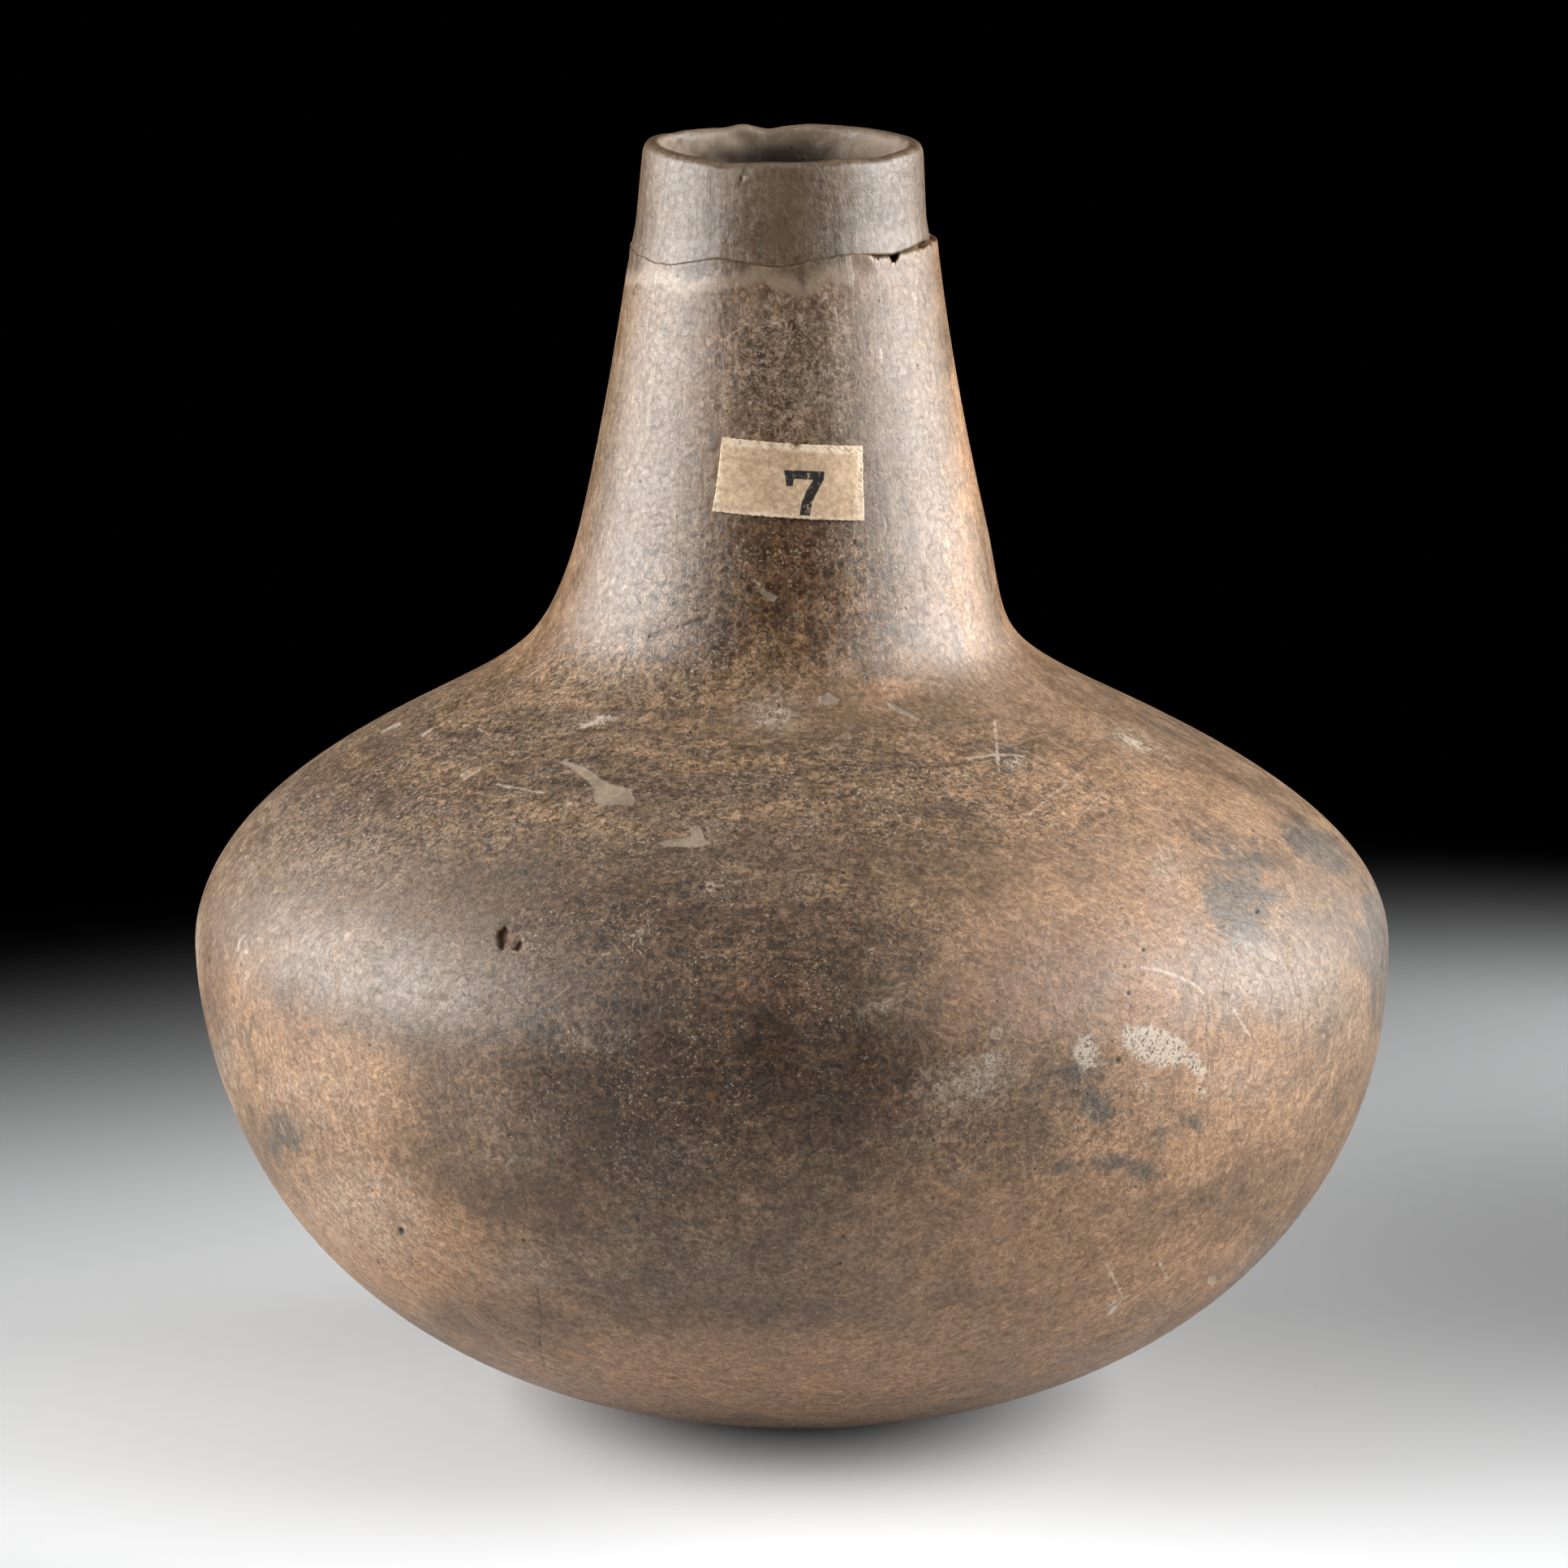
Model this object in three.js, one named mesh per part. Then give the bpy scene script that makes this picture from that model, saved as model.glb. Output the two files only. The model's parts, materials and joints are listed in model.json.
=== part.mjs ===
// A hand-built earthenware bottle: a wide, squat belly on a small flat underside, a sloping shoulder and a tall
// tapering neck. The top of the neck broke off long ago, and the ring that sits there is fixed on with a fine line
// of glue, a little narrower than the neck and off to the left, so that the neck stands proud of it on the right.
// A small paper label is pasted to the front of the neck. The bottle is hollow, with an open mouth.
// Millimetres, +Z up, -Y is the front. The origin is the middle of the flat underside.
import * as THREE from 'three';

// Outside of the bottle.
const footRadius = 22;
const bellyRadius = 95;
const bellyHeight = 73.4; // the widest line, above the underside
const shoulderHeight = 50.6; // from the widest line to the foot of the neck
const neckFootRadius = 36.2;
const neckLength = 61; // from the foot of the neck to the break
const neckHollow = 1; // how far the neck's side dips in halfway up
const breakRadius = 24.1; // the neck at the break

// The ring above the break.
const ringHeight = 15.9;
const ringStep = 0.75; // how much narrower than the neck it starts
const ringShift = 0.5; // how far its foot sits to the left of the neck's middle
const lipRadius = 22.1;
const ringTaper = 0.6; // below 1, most of the ring's narrowing is near its foot
const glueLine = 0.3;

// Walls.
const footWall = 8;
const bellyWall = 6;
const neckWall = 4.8;
const lipWall = 3.2;

// Paper label.
const labelWidth = 23;
const labelHeight = 11.6;
const labelThickness = 0.3;
const labelPaste = 0.12; // clearance between the neck and the paper
const labelTilt = 3.8; // degrees, right side low
const labelTurn = 2.2; // degrees round the neck, to the right of the front
const labelRise = 28.4; // middle of the label above the foot of the neck

// Hand shaping: how far the middle of the foot, the shoulder's top and the neck lie to the right of the belly's.
const footLean = 0.8;
const shoulderLean = -2.85;
const neckLean = -1.3;
const footLeanEnds = 0.65; // share of the belly's height where the foot's lean starts to fade
const shoulderLeanStarts = 0.1; // shares of the shoulder's height
const shoulderLeanFull = 0.77;
const neckLeanFull = 0.2; // share of the neck's length
const outOfRound = 0.012; // how much less the bottle measures from front to back than from side to side

// The two curves that meet at the belly, and the hollow where the neck springs from the shoulder.
const bowlFall = 2.02;
const bowlSide = 2.35;
const shoulderFall = 2.14;
const shoulderSide = 0.75;
const shoulderClosing = 1.263; // where the shoulder's curve would close, as a share of the shoulder's height
const springing = 15.2; // reach of the hollow

// Height of the break along the neck, above or below its mean, at angles to the right of the front.
const breakPoints = [
  [-180, 0.3], [-150, -0.5], [-120, 0.4], [-90, -1.1], [-73, -1.3], [-51, -1.9], [-24, 0.5], [-10, -0.6],
  [0, -0.8], [10, 0], [23, 0.8], [34, 0.7], [47, 0.1], [60, 0.6], [71, 1.1], [85, 0.5], [100, 0.1], [130, 0.4],
  [155, -0.4], [180, 0.3],
];
const breakReach = 14; // how far below and above the break the clay follows its line
const lipRise = 0.35; // how far the lip stands higher at its sides than at its front and back
const lipWave = 0.15;

// Fineness of the surface.
const sides = 60;
const bowlSteps = 10;
const shoulderSteps = 12;
const neckSteps = 9;
const ringSteps = 4;
const lipSteps = 6;
const labelColumns = 12;
const labelRows = 4;

const neckFootHeight = bellyHeight + shoulderHeight;
const breakHeight = neckFootHeight + neckLength;
const lipHeight = breakHeight + ringHeight;
const bowlDepth = bellyHeight / (1 - (footRadius / bellyRadius) ** bowlSide) ** (1 / bowlFall);

const { smoothstep, lerp, degToRad, radToDeg } = THREE.MathUtils;

// The larger of two radii, with a smooth hollow where they cross.
function hollowJoin(a, b, reach) {
  const share = THREE.MathUtils.clamp(0.5 + (0.5 * (a - b)) / reach, 0, 1);
  return lerp(b, a, share) + reach * share * (1 - share);
}

// Quarter curve: 1 at the belly's widest line, 0 where the curve closes.
function quarterCurve(share, fall, side) {
  return Math.max(1 - Math.min(share, 1) ** fall, 0) ** (1 / side);
}

function neckRadius(z) {
  const up = (z - neckFootHeight) / neckLength;
  return lerp(neckFootRadius, breakRadius, up) - neckHollow * 4 * up * (1 - up);
}

function outerRadius(z) {
  if (z < bellyHeight) return bellyRadius * quarterCurve((bellyHeight - z) / bowlDepth, bowlFall, bowlSide);
  const share = (z - bellyHeight) / (shoulderHeight * shoulderClosing);
  const shoulder = bellyRadius * quarterCurve(share, shoulderFall, shoulderSide);
  return hollowJoin(shoulder, neckRadius(z), springing);
}

// Wall thickness, from the underside to the belly, the neck and the break.
function wallAt(z) {
  if (z < bellyHeight) return lerp(footWall, bellyWall, z / bellyHeight);
  if (z < neckFootHeight) return lerp(bellyWall, neckWall, (z - bellyHeight) / shoulderHeight);
  return neckWall;
}

// Outline of the outside, from the edge of the underside up to the break.
function outerOutline() {
  const points = [];
  for (let i = 0; i < bowlSteps; i++) {
    const z = bellyHeight * (1 - Math.cos((i / bowlSteps) * Math.PI / 2));
    points.push(new THREE.Vector2(outerRadius(z), z));
  }
  for (let i = 0; i < shoulderSteps; i++) {
    const z = bellyHeight + (shoulderHeight * i) / shoulderSteps;
    points.push(new THREE.Vector2(outerRadius(z), z));
  }
  for (let i = 0; i <= neckSteps; i++) {
    const z = neckFootHeight + (neckLength * i) / neckSteps;
    points.push(new THREE.Vector2(outerRadius(z), z));
  }
  return points;
}

// Outline of the inside: each point of the outside moved square to the surface by the wall there.
function innerOutline(outer) {
  const inner = outer.map((point, i) => {
    const before = outer[Math.max(i - 1, 0)];
    const after = outer[Math.min(i + 1, outer.length - 1)];
    const along = after.clone().sub(before).normalize();
    const inward = new THREE.Vector2(-along.y, along.x);
    return point.clone().addScaledVector(inward, wallAt(point.y));
  });
  inner[inner.length - 1].y = breakHeight;
  return inner.filter((point) => point.y >= footWall);
}

// How far the break's line stands above its mean at an angle from the front, in radians.
function breakRise(angle) {
  const degrees = radToDeg(angle);
  const next = breakPoints.findIndex(([at]) => at >= degrees);
  if (next < 1) return breakPoints[0][1];
  const [from, low] = breakPoints[next - 1];
  const [to, high] = breakPoints[next];
  return lerp(low, high, (degrees - from) / (to - from));
}

// Where the bottle's middle lies at a height, to the right of the origin.
function middleAt(z) {
  const belly = smoothstep(z, bellyHeight * footLeanEnds, bellyHeight);
  const shoulder = smoothstep(
    z,
    bellyHeight + shoulderHeight * shoulderLeanStarts,
    bellyHeight + shoulderHeight * shoulderLeanFull,
  );
  const neck = smoothstep(z, neckFootHeight, neckFootHeight + neckLength * neckLeanFull);
  return lerp(lerp(lerp(footLean, 0, belly), shoulderLean, shoulder), neckLean, neck);
}

// Moves each point of a shape by a function of where it is.
function movePoints(geometry, move) {
  const place = geometry.getAttribute('position');
  const point = new THREE.Vector3();
  for (let i = 0; i < place.count; i++) {
    point.fromBufferAttribute(place, i);
    move(point);
    place.setXYZ(i, point.x, point.y, point.z);
  }
  return geometry;
}

// Makes a turned shape hand-made: it wanders, is out of round, and follows the uneven break and lip.
function handShape(geometry) {
  return movePoints(geometry, (point) => {
    const { x, y, z } = point;
    const angle = Math.hypot(x, y) > 0 ? Math.atan2(x, -y) : 0;
    const nearBreak = smoothstep(z, breakHeight - breakReach, breakHeight)
      * (1 - smoothstep(z, breakHeight + glueLine, breakHeight + Math.min(breakReach, ringHeight)));
    const nearLip = smoothstep(z, breakHeight + ringHeight / 2, lipHeight);
    const lip = lipRise * Math.sin(angle) ** 2 + lipWave * Math.sin(3 * angle);
    point.set(x + middleAt(z), y * (1 - outOfRound), z + nearBreak * breakRise(angle) + nearLip * lip);
  });
}

// Turns an outline of (radius, height) points about the upright axis.
function turned(outline) {
  return new THREE.LatheGeometry(outline, sides).rotateX(Math.PI / 2);
}

function bottleBody() {
  const outer = outerOutline();
  const inner = innerOutline(outer).reverse();
  const underside = new THREE.Vector2(0, 0);
  const floor = new THREE.Vector2(0, footWall);
  return handShape(turned([underside, ...outer, ...inner, floor]));
}

function neckRing() {
  const base = breakHeight + glueLine;
  const lipRound = lipWall / 2;
  const straight = lipHeight - lipRound - base;
  const startRadius = breakRadius - ringStep;
  const innerStart = breakRadius - neckWall;
  const outline = [];
  for (let i = 0; i < ringSteps; i++) {
    const up = i / ringSteps;
    outline.push(new THREE.Vector2(lerp(startRadius, lipRadius, up ** ringTaper), base + up * straight));
  }
  for (let i = 0; i <= lipSteps; i++) {
    const turn = (i / lipSteps) * Math.PI;
    const radius = lipRadius - lipRound + lipRound * Math.cos(turn);
    outline.push(new THREE.Vector2(radius, base + straight + lipRound * Math.sin(turn)));
  }
  for (let i = ringSteps - 1; i >= 0; i--) {
    const up = i / ringSteps;
    outline.push(new THREE.Vector2(lerp(innerStart, lipRadius - lipWall, up), base + up * straight));
  }
  outline.push(outline[0].clone());
  const ring = movePoints(turned(outline), (point) => {
    point.x -= ringShift * (1 - (point.z - breakHeight) / ringHeight);
  });
  return handShape(ring);
}

function paperLabel() {
  const middle = neckFootHeight + labelRise;
  const middleRadius = outerRadius(middle);
  const paper = new THREE.BoxGeometry(labelWidth, labelHeight, labelThickness, labelColumns, labelRows, 1)
    .rotateZ(-degToRad(labelTilt));
  return movePoints(paper, (point) => {
    const angle = degToRad(labelTurn) + point.x / middleRadius;
    const z = middle + point.y;
    const radius = outerRadius(z) + labelPaste + labelThickness / 2 + point.z;
    point.set(radius * Math.sin(angle) + middleAt(z), -radius * Math.cos(angle) * (1 - outOfRound), z);
  });
}

const firedClay = new THREE.MeshStandardMaterial({ color: 0x7a6654, roughness: 0.5, metalness: 0 });
const greyClay = new THREE.MeshStandardMaterial({ color: 0x756b60, roughness: 0.6, metalness: 0 });
const agedPaper = new THREE.MeshStandardMaterial({ color: 0xcdb28a, roughness: 0.85, metalness: 0 });

const bottle = new THREE.Group();
const pieces = [
  ['bottle_body', bottleBody(), firedClay],
  ['neck_ring', neckRing(), greyClay],
  ['paper_label', paperLabel(), agedPaper],
];
for (const [name, geometry, material] of pieces) {
  const piece = new THREE.Mesh(geometry, material);
  piece.name = name;
  bottle.add(piece);
}

export default bottle;
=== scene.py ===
import json
import math

import bpy
import numpy as np
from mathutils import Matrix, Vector

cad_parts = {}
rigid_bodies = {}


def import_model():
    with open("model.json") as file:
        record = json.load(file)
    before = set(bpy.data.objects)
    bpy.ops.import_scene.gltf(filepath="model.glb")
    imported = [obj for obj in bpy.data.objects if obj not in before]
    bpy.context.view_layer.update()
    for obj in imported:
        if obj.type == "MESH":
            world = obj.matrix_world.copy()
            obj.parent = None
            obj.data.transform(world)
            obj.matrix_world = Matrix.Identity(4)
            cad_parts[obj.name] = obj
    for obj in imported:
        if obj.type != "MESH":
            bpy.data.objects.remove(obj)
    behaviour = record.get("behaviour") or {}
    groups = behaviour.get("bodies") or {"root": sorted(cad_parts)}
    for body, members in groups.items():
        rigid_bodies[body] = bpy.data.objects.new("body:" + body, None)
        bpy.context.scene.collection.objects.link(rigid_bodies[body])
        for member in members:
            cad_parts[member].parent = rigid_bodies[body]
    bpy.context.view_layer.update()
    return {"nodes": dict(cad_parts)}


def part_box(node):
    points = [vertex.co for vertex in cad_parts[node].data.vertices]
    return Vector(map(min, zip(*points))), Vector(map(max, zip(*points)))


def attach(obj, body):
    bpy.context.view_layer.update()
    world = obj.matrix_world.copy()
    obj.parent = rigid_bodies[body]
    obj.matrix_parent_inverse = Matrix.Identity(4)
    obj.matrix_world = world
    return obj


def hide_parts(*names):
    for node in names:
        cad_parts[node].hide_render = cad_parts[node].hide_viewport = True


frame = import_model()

mm = 0.001

# Where the photograph was taken from, in mm. Marks on the clay are placed by what shows at a pixel of its
# 1932 x 1932 frame.
photoView = {
    "eye": (-1.19, -1600, 425.1), "aim": (-1.19, 0, 98.7), "lens": 237.3, "sensor": 36, "pixels": 1932,
}


def seenInPhoto(points, turned=False):
    # pixels of the photograph where points would show, or those of the same view from behind
    p = np.asarray(points, float) / mm
    if turned:
        p = p * (-1, -1, 1)
    eye, aim = np.array(photoView["eye"], float), np.array(photoView["aim"], float)
    back = (eye - aim) / np.linalg.norm(eye - aim)
    up = np.cross(back, (1, 0, 0))
    focal = photoView["lens"] / photoView["sensor"] * photoView["pixels"]
    middle = photoView["pixels"] / 2
    ray = p - eye
    depth = -ray @ back
    return np.stack([middle + focal * ray[:, 0] / depth, middle - focal * (ray @ up) / depth], 1)


def facing(points, normals, turned=False):
    # 1 where the surface looks straight at the photograph's eye, below 0 where it looks away
    eye = np.array(photoView["eye"], float) * mm
    if turned:
        eye = eye * (-1, -1, 1)
    ray = eye - points
    return (normals * ray).sum(1) / np.linalg.norm(ray, axis=1)


def outside(points, normals, least=-0.001):
    # where the surface looks away from the bottle's axis; at -0.02 the neck's bore counts too
    return (points[:, 0] * normals[:, 0] + points[:, 1] * normals[:, 1]) > least


def smooth(value, low, high):
    t = np.clip((value - low) / (high - low), 0, 1)
    return t * t * (3 - 2 * t)


def window(value, stretch, edge):
    # 1 inside the stretch, fading to 0 at its ends
    low, high = stretch
    return smooth(value, low, low + edge) * (1 - smooth(value, high - edge, high))


# mesh work

def deselectAll():
    for o in bpy.context.scene.objects:
        o.select_set(False)


def takeUp(piece):
    deselectAll()
    piece.select_set(True)
    bpy.context.view_layer.objects.active = piece


def copyNode(node, name):
    # a welded copy of a CAD node, in quads, to be made finer
    piece = frame["nodes"][node].copy()
    piece.data = piece.data.copy()
    piece.name = piece.data.name = name
    piece.parent = None
    for key in list(piece.keys()):
        del piece[key]
    bpy.context.scene.collection.objects.link(piece)
    takeUp(piece)
    bpy.ops.object.mode_set(mode="EDIT")
    bpy.ops.mesh.select_all(action="SELECT")
    bpy.ops.mesh.remove_doubles(threshold=0.02 * mm)
    bpy.ops.mesh.tris_convert_to_quads(face_threshold=0.9, shape_threshold=1.2)
    bpy.ops.object.mode_set(mode="OBJECT")
    bpy.ops.mesh.customdata_custom_splitnormals_clear()
    bpy.ops.object.shade_smooth()
    return piece


def creaseEdges(piece, degrees):
    # edges sharper than this stay crisp under the subdivision
    takeUp(piece)
    bpy.ops.object.mode_set(mode="EDIT")
    bpy.ops.mesh.select_all(action="DESELECT")
    bpy.ops.mesh.edges_select_sharp(sharpness=math.radians(degrees))
    bpy.ops.transform.edge_crease(value=1)
    bpy.ops.object.mode_set(mode="OBJECT")


def subdivideAll(piece, levels):
    takeUp(piece)
    fine = piece.modifiers.new("Subdivision", "SUBSURF")
    fine.levels = fine.render_levels = levels
    bpy.ops.object.modifier_apply(modifier=fine.name)


def readVectors(items, name):
    values = np.zeros(len(items) * 3, np.float32)
    items.foreach_get(name, values)
    return values.reshape(-1, 3).astype(float)


def selectParts(piece, kind, parts, chosen):
    # opens the piece in edit mode with the chosen faces or edges selected
    takeUp(piece)
    bpy.ops.object.mode_set(mode="EDIT")
    bpy.ops.mesh.select_mode(type=kind)
    bpy.ops.mesh.select_all(action="DESELECT")
    bpy.ops.object.mode_set(mode="OBJECT")
    parts.foreach_set("select", chosen)
    bpy.ops.object.mode_set(mode="EDIT")


def subdivideWhere(piece, wanted, cuts=1, smoothness=1):
    # wanted says of face middles and normals which faces are made finer
    faces = piece.data.polygons
    chosen = wanted(readVectors(faces, "center"), readVectors(faces, "normal"))
    selectParts(piece, "FACE", faces, chosen)
    if chosen.any():
        bpy.ops.mesh.subdivide(number_cuts=cuts, smoothness=smoothness)
    bpy.ops.object.mode_set(mode="OBJECT")


def readPoints(piece):
    return readVectors(piece.data.vertices, "co"), readVectors(piece.data.vertex_normals, "vector")


def writePoints(piece, points):
    piece.data.vertices.foreach_set("co", points.astype(np.float32).ravel())
    piece.data.update()


def writeMask(piece, name, values):
    made = piece.data.attributes.new(name, "FLOAT", "POINT")
    made.data.foreach_set("value", np.clip(values, 0, 1).astype(np.float32))


def lumps(points, size, seed, octaves=3):
    # smooth random heights of about -1 to 1, with lumps of the given size in metres
    total, strength, wholeStrength = np.zeros(len(points)), 1.0, 0.0
    for octave in range(octaves):
        p = np.asarray(points, float) / size * 2 ** octave + seed * 17.31 + 900
        cell = np.floor(p).astype(np.int64)
        part = p - cell
        part = part * part * (3 - 2 * part)
        for corner in np.ndindex(2, 2, 2):
            # each corner of the grid gets its own number, the same at every run
            x, y, z = (cell + corner).T
            tangled = (x * 73856093) ^ (y * 19349663) ^ (z * 83492791)
            tangled = ((tangled ^ (tangled >> 13)) * 1274126177) & 0xffffff
            share = np.prod(np.where(corner, part, 1 - part), axis=1)
            total += strength * share * (tangled / 0x800000 - 1)
        wholeStrength += strength
        strength *= 0.55
    return total / wholeStrength


# marks: each is placed by pixels of the photograph

def farFromLine(seen, line, closed=False):
    ends = np.array(line, float)
    starts = ends[:-1] if not closed else ends
    stops = ends[1:] if not closed else np.roll(ends, -1, 0)
    nearest = np.full(len(seen), 1e9)
    for a, b in zip(starts, stops):
        along = np.clip(((seen - a) @ (b - a)) / max((b - a) @ (b - a), 1e-9), 0, 1)
        nearest = np.minimum(nearest, np.linalg.norm(seen - a - along[:, None] * (b - a), axis=1))
    return nearest


def insideShape(seen, shape):
    inside = np.zeros(len(seen), bool)
    points = np.array(shape, float)
    for (ax, ay), (bx, by) in zip(points, np.roll(points, -1, 0)):
        crosses = (ay > seen[:, 1]) != (by > seen[:, 1])
        at = (bx - ax) * (seen[:, 1] - ay) / (by - ay + 1e-12) + ax
        inside ^= crosses & (seen[:, 0] < at)
    return inside


def farFromShape(seen, shape):
    # below 0 inside a closed shape
    far = farFromLine(seen, shape, closed=True)
    return np.where(insideShape(seen, shape), -far, far)


def inEllipse(seen, x, y, wide, high, tilt=0):
    # 0 in the middle of a tilted ellipse, 1 on its outline
    turn = math.radians(tilt)
    dx, dy = seen[:, 0] - x, seen[:, 1] - y
    across = (dx * math.cos(turn) + dy * math.sin(turn)) / wide
    down = (-dx * math.sin(turn) + dy * math.cos(turn)) / high
    return np.hypot(across, down)


def spotMask(seen, spots):
    # soft round spots: x, y, half width, half height, strength, and tilt in degrees where it has one
    left = np.ones(len(seen))
    for x, y, wide, high, strength, *tilt in spots:
        left *= 1 - strength * (1 - smooth(inEllipse(seen, x, y, wide, high, *tilt), 0.3, 1.4))
    return 1 - left


# node work

def addNode(tree, kind, inputs=None, **settings):
    made = tree.nodes.new(kind)
    for name, value in settings.items():
        setattr(made, name, value)
    for key, value in (inputs or {}).items():
        if isinstance(value, bpy.types.NodeSocket):
            tree.links.new(value, made.inputs[key])
        else:
            made.inputs[key].default_value = value
    return made


def grainNoise(tree, vector, scale, detail=4, roughness=0.6, distortion=0):
    made = addNode(tree, "ShaderNodeTexNoise", {
        "Vector": vector, "Scale": scale, "Detail": detail, "Roughness": roughness, "Distortion": distortion,
    })
    return made.outputs["Fac"]


def calc(tree, operation, a, b):
    return addNode(tree, "ShaderNodeMath", {0: a, 1: b}, operation=operation).outputs[0]


def times(tree, a, b):
    return calc(tree, "MULTIPLY", a, b)


def plus(tree, a, b):
    return calc(tree, "ADD", a, b)


def mixed(tree, share, a, b):
    return addNode(tree, "ShaderNodeMix", {0: share, 2: a, 3: b}).outputs[0]


def shifted(tree, vector, by):
    return addNode(tree, "ShaderNodeVectorMath", {0: vector, 1: by}, operation="ADD").outputs[0]


def split(tree, vector):
    return addNode(tree, "ShaderNodeSeparateXYZ", {0: vector}).outputs


def joined(tree, x, y, z):
    return addNode(tree, "ShaderNodeCombineXYZ", {0: x, 1: y, 2: z}).outputs[0]


def between(tree, value, low, high, toLow=0, toHigh=1):
    made = addNode(tree, "ShaderNodeMapRange", {
        "Value": value, "From Min": low, "From Max": high, "To Min": toLow, "To Max": toHigh,
    }, interpolation_type="SMOOTHSTEP")
    return made.outputs["Result"]


def blendColour(tree, share, a, b, how="MIX"):
    return addNode(tree, "ShaderNodeMix", {0: share, 6: a, 7: b}, data_type="RGBA", blend_type=how).outputs[2]


def shaded(tree, colour, by):
    return blendColour(tree, 1, colour, by, "MULTIPLY")


def newGroup(name, inputs, outputs):
    # every socket is a plain value, apart from the place on the piece
    group = bpy.data.node_groups.new(name, "ShaderNodeTree")
    for way, labels in (("INPUT", inputs), ("OUTPUT", outputs)):
        for label in labels:
            kind = "NodeSocketVector" if label == "Vector" else "NodeSocketFloat"
            group.interface.new_socket(name=label, in_out=way, socket_type=kind)
    return group, group.nodes.new("NodeGroupInput").outputs, group.nodes.new("NodeGroupOutput").inputs


def useGroup(tree, group, inputs):
    return addNode(tree, "ShaderNodeGroup", inputs, node_tree=group).outputs


def makeRaggedEdge():
    # turns a soft painted mask into a patch whose edge is broken up by a grain
    group, given, out = newGroup("raggedEdge", ["Mask", "Grain", "Break", "Softness"], ["Mask"])
    pushed = times(group, calc(group, "SUBTRACT", given["Grain"], 0.5), given["Break"])
    moved = plus(group, given["Mask"], pushed)
    low = calc(group, "SUBTRACT", 0.5, given["Softness"])
    high = plus(group, 0.5, given["Softness"])
    found = times(group, between(group, moved, low, high), between(group, given["Mask"], 0, 0.15))
    group.links.new(found, out["Mask"])
    return group


def makeClayGrain():
    # gritty brightness of the clay around 1, sparse pale grains, and small open pits
    group, given, out = newGroup(
        "clayGrain", ["Vector", "Scale", "Strength"], ["Brightness", "Height", "Pale", "Pits"],
    )
    grit = grainNoise(group, given["Vector"], given["Scale"], 5, 0.9, 0.9)
    shaped = between(group, grit, 0.39, 0.63, -0.6, 1)
    group.links.new(plus(group, 1, times(group, shaped, given["Strength"])), out["Brightness"])
    group.links.new(grit, out["Height"])
    aside = shifted(group, given["Vector"], (0.31, 0.17, 0.23))
    bright = grainNoise(group, aside, times(group, given["Scale"], 2.2), 2, 0.6)
    cluster = between(group, grainNoise(group, aside, 120, 3, 0.6), 0.35, 0.6, 0.71, 0.58)
    group.links.new(between(group, bright, cluster, plus(group, cluster, 0.07)), out["Pale"])
    cells = addNode(group, "ShaderNodeTexVoronoi", {
        "Vector": given["Vector"], "Scale": times(group, given["Scale"], 0.6), "Randomness": 1,
    }, feature="F1")
    chance = addNode(group, "ShaderNodeSeparateColor", {0: cells.outputs["Color"]}).outputs
    size = times(group, calc(group, "POWER", chance["Red"], 6), 0.16)
    pit = between(group, cells.outputs["Distance"], size, plus(group, size, 0.06), 1, 0)
    group.links.new(times(group, pit, between(group, chance["Green"], 0.55, 0.57)), out["Pits"])
    return group


def makeBurnish():
    # marks of the burnishing stone: wavy strokes that run round the vessel and strokes that run up it
    group, given, out = newGroup("burnishStrokes", ["Vector", "Round", "Up"], ["Round", "Up", "Long"])
    parts = split(group, given["Vector"])
    wander = times(group, grainNoise(group, given["Vector"], 45, 2, 0.5), 0.014)
    height = plus(group, parts["Z"], wander)
    band = joined(group, times(group, parts["X"], 0.22), times(group, parts["Y"], 0.22), height)
    group.links.new(grainNoise(group, band, given["Round"], 5, 0.85, 0.3), out["Round"])
    sway = times(group, grainNoise(group, given["Vector"], 14, 3, 0.5), 0.022)
    height = plus(group, parts["Z"], sway)
    band = joined(group, times(group, parts["X"], 0.045), times(group, parts["Y"], 0.045), height)
    group.links.new(grainNoise(group, band, 600, 5, 0.8, 0.5), out["Long"])
    flat = joined(group, parts["X"], parts["Y"], 0)
    around = addNode(group, "ShaderNodeVectorMath", {0: flat}, operation="NORMALIZE").outputs[0]
    around = split(group, around)
    column = joined(group, around["X"], around["Y"], times(group, parts["Z"], 5))
    group.links.new(grainNoise(group, column, given["Up"], 5, 0.75, 0.2), out["Up"])
    return group


def makeHairScratches():
    # thin, short, pale scratches in three directions, and the weave of strokes they lie in
    group, given, out = newGroup("hairScratches", ["Vector"], ["Mask", "Weave"])
    found = None
    for tilt, long, scale in ((24, 7, 1500), (-35, 9, 1200), (80, 7, 1300)):
        turned = addNode(group, "ShaderNodeMapping", {
            "Vector": given["Vector"], "Rotation": (0, math.radians(tilt), 0), "Scale": (long, 1, 1),
        }, vector_type="TEXTURE")
        strand = grainNoise(group, turned.outputs[0], scale, 2, 0.6, 0.5)
        found = strand if found is None else calc(group, "MAXIMUM", found, strand)
    group.links.new(between(group, found, 0.71, 0.78), out["Mask"])
    group.links.new(between(group, found, 0.48, 0.7), out["Weave"])
    return group


raggedEdge = makeRaggedEdge()
clayGrain = makeClayGrain()
burnishStrokes = makeBurnish()
hairScratches = makeHairScratches()


def newMaterial(name):
    made = bpy.data.materials.new(name)
    made.use_nodes = True
    tree = made.node_tree
    shader = next(n for n in tree.nodes if n.type == "BSDF_PRINCIPLED")
    place = addNode(tree, "ShaderNodeTexCoord").outputs["Object"]
    return made, tree, shader, place


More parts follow.
